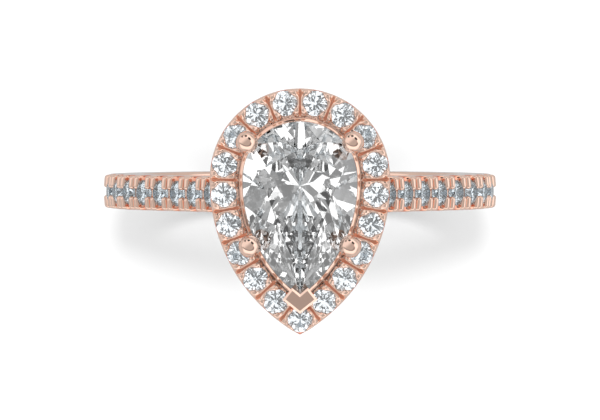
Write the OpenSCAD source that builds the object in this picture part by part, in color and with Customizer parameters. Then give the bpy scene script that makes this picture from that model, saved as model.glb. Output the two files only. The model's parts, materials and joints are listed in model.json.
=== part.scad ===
// Engagement ring: a pear-cut centre stone in a halo of round stones, on a
// shank whose upper half is set with a single row of round stones.
// The origin is the centre of the finger hole. +Y runs along the finger and
// +Z points to the head. The pear's tip points to -Y.

/* [Shank] */
// Radius of the finger hole
finger_r = 8.25; // [8:0.05:8.5]
// Thickness of the shank, from the finger to the outside
shank_t = 1.85; // [1.75:0.05:2]
// Width of the shank along the finger
shank_w = 1.8; // [1.75:0.05:2.1]
// Rounding of the shank's outer edges
outer_round = 0.22; // [0.1:0.02:0.3]
// Rounding of the shank's inner edges
inner_round = 0.16; // [0.1:0.02:0.3]
// Angle from the top at which the straight shoulders leave the circle
shoulder_turn = 52.5; // [52:0.5:54]
// Depth of the shoulders
shoulder_t = 1.5; // [1.2:0.1:1.6]
// Thickness of the bridge that closes the finger hole under the head
bridge_t = 1.25; // [1:0.05:1.3]

/* [Shank stones] */
// Stones on each side
band_count = 8; // [3:1:8]
// Diameter of a shank stone
band_d = 1.3; // [1.1:0.05:1.35]
// Distance from one shank stone to the next
band_pitch = 1.46; // [1.44:0.02:1.5]

/* [Centre stone] */
// Width of the pear
pear_w = 5.7; // [5.5:0.1:5.9]
// Height of the pear's side arcs above the middle of the ring
side_y = 0.6; // [0.4:0.1:0.8]
// Straight run between the side arcs and the round end
flat_run = 0.22; // [0.1:0.02:0.4]
// Radius of the pear's side arcs
side_r = 7; // [6.8:0.1:7.4]
// Height of the crown above the girdle
crown_h = 0.85; // [0.6:0.05:1]
// Thickness of the girdle
girdle_t = 0.15; // [0.08:0.01:0.2]
// Depth of the pavilion below the girdle
pavilion_h = 2.5; // [2.2:0.05:2.6]

/* [Halo] */
// Number of halo stones
halo_count = 19; // [17:2:19]
// Diameter of a halo stone
halo_d = 1.27; // [1.1:0.01:1.3]
// Distance from the centre stone's edge to the halo stones' centres
halo_out = 0.98; // [0.96:0.01:1.05]
// Width of the halo outside the centre stone
halo_w = 1.65; // [1.62:0.01:1.75]
// Width of the rim beside the centre stone
rim_w = 0.34; // [0.3:0.01:0.36]
// Height of the halo's underside above the finger
halo_lift = 3.1; // [3.1:0.05:3.3]
// Thickness of the halo
halo_t = 0.95; // [0.85:0.05:1]

/* [Claws] */
// Radius of the round claw tips
ball_r = 0.56; // [0.45:0.01:0.58]
// Radius of the claw wires
leg_r = 0.22; // [0.18:0.01:0.24]
// Angle of the upper claws round the pear's round end
upper_claw_turn = 34.5; // [30:0.5:40]
// Angle of the lower claws round the side arcs
lower_claw_turn = -25.3; // [-28:0.1:-22]

/* [Hidden] */
$fn = 48;
outer_r = finger_r + shank_t;
bridge_r = finger_r + bridge_t;
half_w = pear_w / 2;
side_c = side_r - half_w;
head_y = side_y + flat_run;
rail_z = bridge_r;
rail_top = rail_z + 0.5;
gallery_z = rail_top + 0.55;
gallery_t = 0.4;
halo_z = finger_r + halo_lift;
halo_top = halo_z + halo_t;
seat_z = halo_top - 0.1;
stone_z = halo_top + 0.175;
rim_top = halo_top + 0.1;
prong_top = halo_top + 0.16;
ball_z = halo_top + 0.7;
knee_z = halo_top;
foot_out = -1.35;
knee_out = 0.1;
ball_out = 0.36;
plate_z = halo_top + 0.22;
plate_top = halo_top + 0.68;
skin = 0.01;
table_share = 0.58;
culet_y = 0.45;
band_shift = 0.06;
far = 40;

band_ids = [for (k = [1:band_count]) k];
halo_ids = [for (k = [1:halo_count]) k];
function two_digits(k) = k < 10 ? str("0", k) : str(k);
function halo_name(k) = str("halo_stone_", two_digits(k));
function left_name(k) = str("shank_stone_left_", k);
function right_name(k) = str("shank_stone_right_", k);

// ---- the pear outline, and the same outline a distance out from it ----

function arc(c, r, from, to, n) = [for (i = [0:n]) let (a = from + (to - from) * i / n) c + r * [cos(a), sin(a)]];
function tip_turn(out) = acos(side_c / (side_r + out));
function mirrored(points) = [for (i = [len(points) - 1:-1:0]) [-points[i].x, points[i].y]];
function right_side(out) = concat(
    arc([-side_c, side_y], side_r + out, -tip_turn(out), 0, 14),
    arc([0, head_y], half_w + out, 0, 90, 12)
);
function without_last(points) = [for (i = [0:len(points) - 2]) points[i]];
function without_ends(points) = [for (i = [1:len(points) - 2]) points[i]];
function pear(out) = concat(right_side(out), without_ends(mirrored(right_side(out))));

// The pear as a path that starts at the tip and runs up the right side
function side_run(out) = (side_r + out) * tip_turn(out) * PI / 180;
function pear_run(out) = 2 * (side_run(out) + flat_run) + PI * (half_w + out);
function degrees(run, r) = run / r * 180 / PI;
function along_side(s, out) = let (a = degrees(s, side_r + out) - tip_turn(out))
    [[(side_r + out) * cos(a) - side_c, side_y + (side_r + out) * sin(a)], a];
function along_flat(s, out) = [[half_w + out, side_y + s], 0];
function along_head(s, out) = let (a = degrees(s, half_w + out))
    [[(half_w + out) * cos(a), head_y + (half_w + out) * sin(a)], a];
function other_side(place) = [[-place[0].x, place[0].y], 180 - place[1]];

// [point, direction outward in degrees] at a run along the path
function pear_at(s, out) =
    s > pear_run(out) / 2 ? other_side(pear_at(pear_run(out) - s, out)) :
    s < side_run(out) ? along_side(s, out) :
    s < side_run(out) + flat_run ? along_flat(s - side_run(out), out) :
    along_head(s - side_run(out) - flat_run, out);
function halo_at(share) = share == 0
    ? [pear_at(0, halo_out)[0], -90]
    : pear_at(share * pear_run(halo_out), halo_out);

// ---- cut stones ----

// A brilliant cut on any outline of 16 * q points, given from a main facet on
function gem_points(rim, q, c, crown, girdle, pavilion) =
    let (
        half = cos(22.5),
        star = (table_share * half + 1) / 2,
        star_z = crown * (1 - star * half) / (1 - table_share),
        low = 0.22,
        low_z = -pavilion * (1 - low * half)
    ) concat(
        [for (k = [0:7]) let (p = c + table_share * (rim[2 * k * q] - c)) [p.x, p.y, girdle + crown]],
        [for (k = [0:7]) let (p = c + star * (rim[(2 * k + 1) * q] - c)) [p.x, p.y, girdle + star_z]],
        [for (p = rim) [p.x, p.y, girdle]],
        [for (p = rim) [p.x, p.y, 0]],
        [for (k = [0:7]) let (p = c + low * (rim[(2 * k + 1) * q] - c)) [p.x, p.y, low_z]],
        [[c.x, c.y, -pavilion]]
    );
function gem_faces(q) =
    let (n = 16 * q, up = 16, down = 16 + n, low = 16 + 2 * n, culet = low + 8) concat(
        [[for (k = [0:7]) 7 - k]],
        [for (k = [0:7]) [k, (k + 1) % 8, 8 + k]],
        [for (k = [0:7]) [k, up + 2 * k * q, 8 + (k + 7) % 8]],
        [for (k = [0:7]) [k, 8 + k, up + 2 * k * q]],
        [for (k = [0:7], i = [0:2 * q - 1]) let (a = 2 * k * q + i) [8 + k, up + (a + 1) % n, up + a]],
        [for (a = [0:n - 1]) [up + a, down + (a + 1) % n, down + a]],
        [for (a = [0:n - 1]) [up + a, up + (a + 1) % n, down + (a + 1) % n]],
        [for (k = [0:7], i = [0:2 * q - 1]) let (a = 2 * k * q + i) [low + k, down + a, down + (a + 1) % n]],
        [for (k = [0:7]) [culet, down + 2 * k * q, low + k]],
        [for (k = [0:7]) [culet, low + (k + 7) % 8, down + 2 * k * q]]
    );

// A round brilliant with its girdle's lower edge at the origin
module round_gem(d) {
    rim = [for (i = [0:15]) d / 2 * [cos(i * 22.5), sin(i * 22.5)]];
    polyhedron(gem_points(rim, 1, [0, 0], 0.15 * d, 0.04 * d, 0.42 * d), gem_faces(1));
}

// The hole that a round stone sits in: a straight hole, the seat, and room for the crown
module seat(d, hole, deep) {
    r = d / 2 + skin;
    grip = 0.06 * d;
    slope = 0.84;
    rotate_extrude()
        polygon([
            [0, -deep], [hole, -deep], [hole, -(r - hole) * slope], [r, 0], [r, 0.04 * d + skin],
            [r - grip, 0.04 * d + skin + grip * 0.75], [r - grip, 2], [0, 2]
        ]);
}

module centre_stone() {
    step = pear_run(0) / 64;
    rim = [for (i = [0:63]) pear_at(i * step, 0)[0]];
    color("whitesmoke")
        translate([0, 0, stone_z - girdle_t / 2])
            polyhedron(gem_points(rim, 4, [0, culet_y], crown_h, girdle_t, pavilion_h), gem_faces(4));
}

module halo_stone(k) {
    place = halo_at((k - 1) / halo_count);
    color("white")
        translate([place[0].x, place[0].y, seat_z])
            rotate([0, 0, place[1]])
                round_gem(halo_d);
}

// ---- the shank ----

// Its children stand on the shank's outside on the right: x across, y towards the head, z outward
module on_band(run) {
    turn = run <= 0 ? shoulder_turn : shoulder_turn + degrees(run, outer_r);
    rotate([90, 0, 0])
        rotate([0, 0, 90 - turn])
            translate([outer_r, max(-run, 0), 0])
                rotate([0, 90, 0])
                    children();
}
function band_run(k) = (k - 5) * band_pitch + band_shift;

module both_sides() {
    children();
    mirror([1, 0, 0])
        children();
}

module section(inside) {
    w = shank_w / 2;
    polygon(concat(
        arc([inside + inner_round, w - inner_round], inner_round, 180, 90, 3),
        arc([outer_r - outer_round, w - outer_round], outer_round, 90, 0, 4),
        arc([outer_r - outer_round, outer_round - w], outer_round, 0, -90, 4),
        arc([inside + inner_round, inner_round - w], inner_round, -90, -180, 3)
    ));
}

module bridge_section() {
    w = shank_w / 2;
    polygon(concat(
        arc([finger_r + inner_round, w - inner_round], inner_round, 180, 90, 3),
        [[bridge_r, w], [bridge_r, -w]],
        arc([finger_r + inner_round, inner_round - w], inner_round, -90, -180, 3)
    ));
}

module shoulder() {
    rotate([90, 0, 0])
        rotate([0, 0, 90 - shoulder_turn])
            rotate([-90, 0, 0])
                linear_extrude(9)
                    section(outer_r - shoulder_t);
}

module shank_body() {
    rotate([90, 0, 0])
        rotate([0, 0, 90 + shoulder_turn])
            rotate_extrude(angle = 360 - 2 * shoulder_turn, $fn = 96)
                section(finger_r);
    rotate([90, 0, 0])
        rotate([0, 0, 90 - shoulder_turn])
            rotate_extrude(angle = 2 * shoulder_turn, $fn = 96)
                bridge_section();
    difference() {
        both_sides()
            shoulder();
        translate([-far / 2, -far / 2, halo_z])
            cube(far);
        translate([-3, -far / 2, bridge_r + 0.2])
            cube([6, far, far]);
    }
}

// The raised metal between two stones, which grips both
module prong_bar() {
    translate([-shank_w / 2 + 0.05, -0.3, -0.4])
        cube([shank_w - 0.1, 0.6, 0.5]);
}

// The rounded cut across the shank at a stone
module across_cut() {
    translate([-far / 2, 0, 0.36])
        rotate([0, 90, 0])
            cylinder(h = far, r = 0.6);
}

// The V cut that splits the metal between two stones into a pair of prongs
module split_cut() {
    for (side = [-1, 1])
        translate([side * (shank_w / 2 + 0.15), 0, 0.16])
            rotate([45, 0, 0])
                cube([1.2, 0.2, 0.2], center = true);
}

module shank() {
    color("lightsalmon")
        difference() {
            union() {
                shank_body();
                difference() {
                    both_sides()
                        for (k = band_ids)
                            on_band(band_run(k) + band_pitch / 2)
                                prong_bar();
                    translate([-far / 2, -far / 2, halo_z])
                        cube(far);
                }
            }
            both_sides()
                for (k = band_ids) {
                    on_band(band_run(k))
                        translate([0, 0, -0.1])
                            seat(band_d, 0.32, 2.2);
                    on_band(band_run(k))
                        across_cut();
                    on_band(band_run(k) + band_pitch / 2)
                        split_cut();
                }
        }
}

module right_stone(k) {
    color("white")
        on_band(band_run(k))
            translate([0, 0, -0.1])
                round_gem(band_d);
}

module left_stone(k) {
    mirror([1, 0, 0])
        right_stone(k);
}

// ---- the head ----

module pear_ring(inside, outside, z, t) {
    translate([0, 0, z])
        linear_extrude(t)
            difference() {
                polygon(pear(outside));
                polygon(pear(inside));
            }
}

module rod(a, b, r) {
    d = b - a;
    translate(a)
        rotate([0, acos(d.z / norm(d)), atan2(d.y, d.x)])
            cylinder(h = norm(d), r = r);
}

function upper_claw_at(out) = [half_w + out, head_y + 0, 0] - [half_w + out, 0, 0]
    + (half_w + out) * [cos(upper_claw_turn), sin(upper_claw_turn), 0];
function lower_claw_at(out) = [-side_c, side_y, 0]
    + (side_r + out) * [cos(lower_claw_turn), sin(lower_claw_turn), 0];
function tip_at(out) = [0, side_y - sqrt((side_r + out) ^ 2 - side_c ^ 2), 0];
up = [0, 0, 1];

// A claw's wire: from the base rail to the girdle, then to the tip
module wire(foot, knee, tip) {
    rod(foot, knee, leg_r);
    translate(knee)
        sphere(leg_r + 0.02);
    rod(knee, tip, leg_r);
}

module upper_wire() {
    wire(
        upper_claw_at(foot_out) + (rail_top - 0.3) * up,
        upper_claw_at(knee_out) + knee_z * up,
        upper_claw_at(ball_out) + ball_z * up
    );
    translate(upper_claw_at(ball_out) + ball_z * up)
        sphere(ball_r);
}

module lower_wire() {
    wire(
        lower_claw_at(foot_out) + (rail_top - 0.3) * up,
        lower_claw_at(knee_out) + knee_z * up,
        lower_claw_at(ball_out) + ball_z * up
    );
    translate(lower_claw_at(ball_out) + ball_z * up)
        sphere(ball_r);
}

// What the claws leave free: the rail under their feet and the centre stone
module claw_room() {
    cube([far, far, 2 * rail_top], center = true);
    translate([0, 0, stone_z - girdle_t / 2 - 0.14])
        linear_extrude(girdle_t + 0.14 + skin)
            polygon(pear(skin));
}

module ball_claw_upper() {
    color("mistyrose")
        difference() {
            upper_wire();
            claw_room();
        }
}

module ball_claw_lower() {
    color("mistyrose")
        difference() {
            lower_wire();
            claw_room();
        }
}

// The V-shaped claw's outline from above
module chevron() {
    polygon([[0, -5], [0.41, -4.69], [0.82, -5.23], [0, -5.89], [-0.82, -5.23], [-0.41, -4.69]]);
}

module tip_stem() {
    rod(tip_at(foot_out) + (rail_top - 0.3) * up, tip_at(0.12) + (halo_top - 0.3) * up, leg_r);
    translate([0, 0, halo_top - 0.5])
        linear_extrude(plate_z - halo_top + 0.5 + skin)
            intersection() {
                chevron();
                polygon(pear(rim_w - 0.04));
            }
}

module claw_tip() {
    color("rosybrown")
        difference() {
            union() {
                tip_stem();
                translate([0, 0, plate_z])
                    linear_extrude(plate_top - plate_z)
                        chevron();
            }
            cube([far, far, 2 * rail_top], center = true);
            translate([0, 0, stone_z - girdle_t / 2 - 0.14])
                linear_extrude(girdle_t + 0.14 + skin)
                    polygon(pear(skin));
        }
}

module wires() {
    both_sides() {
        upper_wire();
        lower_wire();
    }
    tip_stem();
}

module base_rail() {
    color("salmon")
        difference() {
            pear_ring(foot_out - 0.3, foot_out + 0.3, rail_z - 0.2, rail_top - rail_z + 0.2);
            rotate([90, 0, 0])
                cylinder(h = far, r = bridge_r, center = true, $fn = 96);
        }
}

module gallery_rail() {
    color("salmon")
        difference() {
            pear_ring(-0.86, -0.36, gallery_z, gallery_t);
            wires();
        }
}

module halo_split(share) {
    place = pear_at(share * pear_run(halo_out), halo_out);
    translate([place[0].x, place[0].y, prong_top + 0.02])
        rotate([0, 0, place[1]])
            rotate([45, 0, 0])
                cube([1.5, 0.2, 0.2], center = true);
}

module halo_bar(share) {
    place = pear_at(share * pear_run(halo_out), halo_out);
    translate([place[0].x, place[0].y, halo_top - 0.3])
        rotate([0, 0, place[1]])
            translate([-0.62, -0.3, 0])
                cube([1.24, 0.6, prong_top - halo_top + 0.3]);
}

module halo_cut(share) {
    place = halo_at(share);
    translate([place[0].x, place[0].y, seat_z])
        seat(halo_d, 0.36, 1.2);
    translate([place[0].x, place[0].y, halo_top + 0.36])
        rotate([0, 90, place[1]])
            cylinder(h = 2, r = 0.6);
}

module halo_frame() {
    color("lightsalmon")
        difference() {
            union() {
                pear_ring(-0.25, halo_w, halo_z, halo_t);
                pear_ring(-0.25, rim_w, halo_top - 0.2, rim_top - halo_top + 0.2);
                for (k = halo_ids)
                    halo_bar((k - 0.5) / halo_count);
            }
            translate([0, 0, stone_z - girdle_t / 2 - 0.22])
                linear_extrude(1)
                    polygon(pear(0.02));
            for (k = halo_ids) {
                halo_cut((k - 1) / halo_count);
                halo_split((k - 0.5) / halo_count);
            }
            wires();
        }
}

shank();
base_rail();
gallery_rail();
halo_frame();
centre_stone();
mirror([1, 0, 0]) ball_claw_upper();  // claw_upper_left
ball_claw_upper();  // claw_upper_right
mirror([1, 0, 0]) ball_claw_lower();  // claw_lower_left
ball_claw_lower();  // claw_lower_right
claw_tip();
for (k = halo_ids) halo_stone(k);
for (k = band_ids) left_stone(k);
for (k = band_ids) right_stone(k);
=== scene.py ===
import json
import math
import bmesh
import bpy
import numpy as np
from mathutils import Matrix, Vector


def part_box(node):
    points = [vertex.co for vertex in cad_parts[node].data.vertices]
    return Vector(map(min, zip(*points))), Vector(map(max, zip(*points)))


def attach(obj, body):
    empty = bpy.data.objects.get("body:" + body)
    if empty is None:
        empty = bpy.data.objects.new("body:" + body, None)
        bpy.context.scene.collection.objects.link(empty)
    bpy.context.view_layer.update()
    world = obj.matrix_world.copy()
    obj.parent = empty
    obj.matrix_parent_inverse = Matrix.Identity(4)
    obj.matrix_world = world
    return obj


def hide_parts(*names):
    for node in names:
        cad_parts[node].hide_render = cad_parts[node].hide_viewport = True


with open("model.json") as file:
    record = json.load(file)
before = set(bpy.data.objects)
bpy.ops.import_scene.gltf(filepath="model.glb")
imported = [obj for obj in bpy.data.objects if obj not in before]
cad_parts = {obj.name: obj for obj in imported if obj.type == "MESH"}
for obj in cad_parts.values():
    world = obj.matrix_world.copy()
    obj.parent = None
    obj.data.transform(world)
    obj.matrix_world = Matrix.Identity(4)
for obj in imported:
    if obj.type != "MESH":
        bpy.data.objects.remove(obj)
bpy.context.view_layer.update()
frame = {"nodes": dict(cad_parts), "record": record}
mm = 0.001
print("frame loaded:", len(frame["nodes"]), "nodes")

# sizes taken from the frame
shankLow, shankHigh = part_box("shank")
stoneLow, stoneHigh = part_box("centre_stone")
fingerRadius = frame["record"]["mounts"][0]["dims"]["r_mm"]  # from here on the maker's sizes are in mm
outerRadius = -shankLow.z / mm
shankWidth = (shankHigh.y - shankLow.y) / mm
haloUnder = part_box("halo_frame")[0].z / mm

pear = {
    "width": (stoneHigh.x - stoneLow.x) / mm,
    "sideRadius": 7.0,
    "sideY": 0.6,
    "flatRun": 0.22,
    "culetY": 0.45,
    "crown": 0.85,
    "girdle": 0.15,
    "pavilion": 2.5,
    "table": 0.58,
}

halo = {
    "stones": 19,
    "stoneWidth": 1.27,
    "out": 0.98,
    "width": 1.65,
    "thickness": 0.95,
    "ledge": -0.25,
}

band = {
    "stones": 8,
    "stoneWidth": 1.3,
    "pitch": 1.46,
    "shift": 0.06,
    "turn": math.radians(52.5),
    "shoulderDepth": 1.5,
    "bridge": 1.25,
    "stoneSunk": 0.1,
    "outerRound": 0.22,
    "innerRound": 0.16,
}

claws = {
    "ball": 0.56,
    "leg": 0.22,
    "upperTurn": math.radians(34.5),
    "lowerTurn": math.radians(-25.3),
    "footOut": -1.35,
    "kneeOut": 0.1,
    "ballOut": 0.36,
    "ballLift": 0.7,
    "kneeShare": 0.625,
}

halfWidth = pear["width"] / 2
sideCentre = pear["sideRadius"] - halfWidth
headY = pear["sideY"] + pear["flatRun"]
haloTop = haloUnder + halo["thickness"]
seatHeight = haloTop - 0.1
stoneHeight = haloTop + 0.1
bridgeRadius = fingerRadius + band["bridge"]
railTop = bridgeRadius + 0.5


# the pear outline is a path from the tip up the right side, and share is how far along it a point lies
def tipTurn(out):
    return math.acos(sideCentre / (pear["sideRadius"] + out))


def pearRun(out):
    side = (pear["sideRadius"] + out) * tipTurn(out)
    return 2 * (side + pear["flatRun"]) + math.pi * (halfWidth + out)


def pearAt(share, out):
    run = pearRun(out)
    s = (share % 1.0) * run
    if s > run / 2:
        x, y, a = pearAt((run - s) / run, out)
        return -x, y, math.pi - a
    r = pear["sideRadius"] + out
    side = r * tipTurn(out)
    if s < side:
        a = s / r - tipTurn(out)
        return r * math.cos(a) - sideCentre, pear["sideY"] + r * math.sin(a), a
    if s < side + pear["flatRun"]:
        return halfWidth + out, pear["sideY"] + s - side, 0.0
    a = (s - side - pear["flatRun"]) / (halfWidth + out)
    return (halfWidth + out) * math.cos(a), headY + (halfWidth + out) * math.sin(a), a


def haloPlace(index):
    x, y, a = pearAt(index / halo["stones"], halo["out"])
    return (x, y, -math.pi / 2) if index == 0 else (x, y, a)


# helpers that turn points in mm into finished pieces
def newPiece(name, points, faces, smooth=True):
    mesh = bpy.data.meshes.new(name)
    mesh.from_pydata([tuple(c * mm for c in p) for p in points], [], faces)
    mesh.update()
    piece = bpy.data.objects.new(name, mesh)
    bpy.context.scene.collection.objects.link(piece)
    for f in mesh.polygons:
        f.use_smooth = smooth
    return piece


def turnOutwards(piece):
    work = bmesh.new()
    work.from_mesh(piece.data)
    bmesh.ops.remove_doubles(work, verts=work.verts, dist=1e-7)
    bmesh.ops.recalc_face_normals(work, faces=work.faces)
    if work.calc_volume(signed=True) < 0:
        bmesh.ops.reverse_faces(work, faces=work.faces)
    work.to_mesh(piece.data)
    work.free()


def paintRecessShade(piece, shadeValues):
    # stores a painted shade value at every point, which the gold finish uses to darken the gold in the
    # cuts
    depth = piece.data.attributes.new("recessShade", "FLOAT", "POINT")
    depth.data.foreach_set("value", np.asarray(shadeValues, dtype=np.float32))


def gridFaces(rows, columns, closedRows, closedColumns):
    faces = []
    for i in range(rows if closedRows else rows - 1):
        for j in range(columns if closedColumns else columns - 1):
            a, b = i * columns + j, i * columns + (j + 1) % columns
            c, d = ((i + 1) % rows) * columns + (j + 1) % columns, ((i + 1) % rows) * columns + j
            faces.append((a, b, c, d))
    return faces


def finishPiece(piece, material, slot, *nodes):
    if not piece.data.materials:
        piece.data.materials.append(material)
    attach(piece, "root")
    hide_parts(*nodes)
    return piece


def smoothStep(low, high, value):
    t = np.clip((value - low) / (high - low), 0, 1)
    return t * t * (3 - 2 * t)


# the metal round a row of stones: ridges that follow each stone, a split between two ridges
grip = {
    "ridgeTop": 0.13,
    "ridgeWidth": 0.14,
    "ridgeLean": 0.3,
    "ridgeSunk": 0.02,
    "grainTurn": math.radians(40),
    "grainSpread": math.radians(15),
    "grainReach": 0.1,
    "plainWidth": 0.8,
    "grainWidth": 0.6,
    "plainCrest": 0.7,
    "grainCrest": 0.75,
    "edgeReach": 0.02,
    "edgeFade": (0.03, 0.01),
    "split": 0.17,
    "splitWidth": 0.024,
    "splitFade": 0.03,
    "stroke": 0.045,
    "strokePitch": 0.12,
    "seatEdge": -0.15,
    "seatSlope": 0.86,
    "wellFloor": -0.76,
}


def seatHeightAt(distance, radius):
    slope = np.clip(radius - distance, 0, 1) * grip["seatSlope"]
    return np.maximum(grip["seatEdge"] - slope, grip["wellFloor"])


def scoopHeight(along, rise, radius):
    return rise - np.sqrt(np.clip(radius**2 - along**2, 0, None))


def metalTop(distance, turn, fromSplit, radius, low, ridge):
    # distance is from the stone's centre, turn is from the line between two stones, low is the low metal
    grain = np.exp(-(((np.abs(turn) - grip["grainTurn"]) / grip["grainSpread"]) ** 2))
    reach = grip["edgeReach"] + (grip["grainReach"] - grip["edgeReach"]) * grain
    out = distance - radius
    width = grip["ridgeWidth"] * (grip["plainWidth"] + grip["grainWidth"] * grain)
    crest = grip["ridgeTop"] * (grip["plainCrest"] + grip["grainCrest"] * grain)
    across = (out - width * grip["ridgeLean"]) / width
    hump = crest * np.sqrt(np.clip(1 - across**2, 0, 1)) - grip["ridgeSunk"]
    top = low + (np.maximum(hump, low) - low) * ridge
    strokes = np.sin(math.pi * fromSplit / grip["strokePitch"]) ** 2
    top = top + grip["stroke"] * strokes * (1 - ridge * 0.5)
    split = 1 - smoothStep(grip["splitWidth"], grip["splitWidth"] + grip["splitFade"], fromSplit)
    top = top - (top + grip["split"]) * split * (top > -grip["split"])
    inside = smoothStep(-reach - grip["edgeFade"][0], -reach + grip["edgeFade"][1], out)
    well = seatHeightAt(distance, radius)
    return well * (1 - inside) + top * inside


haloGrid = {
    "perStone": 44,
    "topRows": 58,
    "wallRows": 6,
    "underRows": 20,
    "insideRows": 4,
    "edgeRound": 0.12,
    "lowerRound": 0.08,
}

haloCut = {
    "scoopRise": 0.26,
    "scoopRadius": 0.56,
    "outerLow": -0.08,
    "innerLow": -0.12,
    "ridgeFrom": math.radians(54),
    "ridgeTo": math.radians(74),
    "channelOut": 0.17,
    "channelFloor": -0.15,
    "channelLift": 0.1,
    "rimFrom": 0.2,
    "rimTo": 0.36,
    "ledgeDrop": 0.23,
    "drillRadius": (0.3, 0.36),
    "drillDepth": 0.1,
    "shadeFrom": 0.02,
    "shadeDepth": 0.34,
}


def haloTopHeight(x, y, out):
    centres = np.array([haloPlace(k) for k in range(halo["stones"])])
    dx = x[..., None] - centres[:, 0]
    dy = y[..., None] - centres[:, 1]
    spans = np.hypot(dx, dy)
    k = spans.argmin(-1)
    near = np.sort(spans, -1)
    d, fromSplit = near[..., 0], (near[..., 1] - near[..., 0]) / 2
    px = np.take_along_axis(dx, k[..., None], -1)[..., 0]
    py = np.take_along_axis(dy, k[..., None], -1)[..., 0]
    a = centres[:, 2][k]
    outward = px * np.cos(a) + py * np.sin(a)
    along = np.abs(-px * np.sin(a) + py * np.cos(a))
    turn = np.arctan2(np.abs(outward), along)
    radius = halo["stoneWidth"] / 2
    scoop = scoopHeight(along, haloCut["scoopRise"], haloCut["scoopRadius"])
    low = np.where(outward > 0, np.minimum(haloCut["outerLow"], scoop), haloCut["innerLow"])
    ridge = 1 - smoothStep(haloCut["ridgeFrom"], haloCut["ridgeTo"], turn)
    top = metalTop(d, turn, fromSplit, radius, low, ridge)
    fromChannel = np.abs(out - haloCut["channelOut"]) / haloCut["channelOut"]
    channel = haloCut["channelFloor"] + haloCut["channelLift"] * fromChannel
    rim = channel + (top - channel) * smoothStep(haloCut["rimFrom"], haloCut["rimTo"], out)
    beside = np.where(out < haloCut["rimFrom"], np.minimum(rim, channel), rim)
    top = np.where((out < haloCut["rimTo"]) & (d > radius + 0.01), beside, top)
    edgeRound = haloGrid["edgeRound"]
    overEdge = np.clip(out - (halo["width"] - edgeRound), 0, None)
    top = top - (edgeRound - np.sqrt(np.clip(edgeRound**2 - overEdge**2, 0, None)))
    ledge = stoneHeight - haloTop - haloCut["ledgeDrop"]
    top = np.where(out < 0.005, ledge, top)
    return haloTop + top


def haloRecessShade(height):
    # painted shade: how deep a point lies in the cut metal, 0 on the polished tops and 1 at the bottom
    # of the cuts, where the gold is darkened
    return smoothStep(0.0, haloCut["shadeDepth"], haloTop - height - haloCut["shadeFrom"])


def haloUnderHeight(x, y):
    centres = np.array([haloPlace(k)[:2] for k in range(halo["stones"])])
    d = np.hypot(x[..., None] - centres[:, 0], y[..., None] - centres[:, 1]).min(-1)
    return haloUnder + haloCut["drillDepth"] * (1 - smoothStep(*haloCut["drillRadius"], d))


def makeHaloFrame():
    columns = halo["stones"] * haloGrid["perStone"]
    inner, outer, edge = halo["ledge"], halo["width"], haloGrid["lowerRound"]

    def loopAt(out):
        return np.array([pearAt((i + 0.5) / columns, out)[:2] for i in range(columns)])

    def raised(line, heights):
        return np.column_stack([line, heights])

    ledgeOuts = np.linspace(inner, 0.0, 4)
    topOuts = np.concatenate([ledgeOuts, np.linspace(0.012, outer, haloGrid["topRows"])])
    top = []
    for out in topOuts:
        line = loopAt(out)
        top.append(raised(line, haloTopHeight(line[:, 0], line[:, 1], np.full(columns, out))))
    rounded = []
    for a in np.linspace(0, 1.5, 4):
        height = haloUnder + edge * (1 - math.sin(a))
        rounded.append(raised(loopAt(outer - edge * (1 - math.cos(a))), np.full(columns, height)))
    steps = np.linspace(0, 1, haloGrid["wallRows"] + 2)[1:-1]
    wall = [top[-1] + (rounded[0] - top[-1]) * t for t in steps]
    under = []
    for out in np.linspace(outer - edge, inner, haloGrid["underRows"]):
        line = loopAt(out)
        under.append(raised(line, haloUnderHeight(line[:, 0], line[:, 1])))
    steps = np.linspace(0, 1, haloGrid["insideRows"] + 2)[1:-1]
    inside = [under[-1] + (top[0] - under[-1]) * t for t in steps]
    rows = top + wall + rounded + under + inside
    faces = gridFaces(len(rows), columns, True, True)
    piece = newPiece("haloFrame", np.concatenate(rows).tolist(), faces)
    plain = np.zeros(columns * (len(rows) - len(top)))
    paintRecessShade(piece, np.concatenate([haloRecessShade(row[:, 2]) for row in top] + [plain]))
    turnOutwards(piece)
    return piece


# the shank is one sweep from shoulder to shoulder, and the bridge under the head
shankGrid = {
    "fine": 0.048,
    "coarse": 0.3,
    "topRows": 44,
    "cornerRows": 5,
    "sideRows": 4,
    "innerRows": 34,
    "shoulderRun": 8.6,
}

shankCut = {
    "scoopRise": 0.26,
    "scoopRadius": 0.58,
    "low": -0.06,
    "split": 0.24,
    "splitWidth": (0.05, 0.1),
    "splitFrom": (0.16, 0.24),
    "splitTo": (0.74, 0.84),
    "before": 1.2,
    "after": (0.5, 0.62),
    "drillRadius": (0.24, 0.34),
    "drillDepth": 0.45,
}


def bandRun(k):
    return (k - 5) * band["pitch"] + band["shift"]


def shankFrame(run):
    # run is measured from where the right shoulder meets the hoop, negative up the shoulder
    turn = band["turn"] + max(run, 0) / outerRadius
    radial = np.array([math.sin(turn), 0, math.cos(turn)])
    along = np.array([math.cos(turn), 0, -math.sin(turn)])
    return radial * outerRadius + along * min(run, 0), radial


def bandTopHeight(run, y):
    runs = np.array([bandRun(k) for k in range(1, band["stones"] + 1)])
    delta = run[..., None] - runs
    along = np.abs(delta).min(-1)
    d = np.hypot(along, y)
    fromSplit = np.abs(band["pitch"] / 2 - along)
    radius = band["stoneWidth"] / 2
    low = np.minimum(shankCut["low"], scoopHeight(along, shankCut["scoopRise"], shankCut["scoopRadius"]))
    fromMiddle = np.abs(y)
    split = 1 - smoothStep(*shankCut["splitWidth"], fromSplit)
    split = split * smoothStep(*shankCut["splitFrom"], fromMiddle)
    split = split * (1 - smoothStep(*shankCut["splitTo"], fromMiddle))
    top = low - (low + shankCut["split"]) * split * (low > -shankCut["split"])
    top = np.where(d < radius, seatHeightAt(d, radius), top)
    worked = run > runs[0] - shankCut["before"]
    start, stop = [runs[-1] + band["pitch"] * share for share in shankCut["after"]]
    return np.where(worked, top * (1 - smoothStep(start, stop, run)), 0.0)


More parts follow.
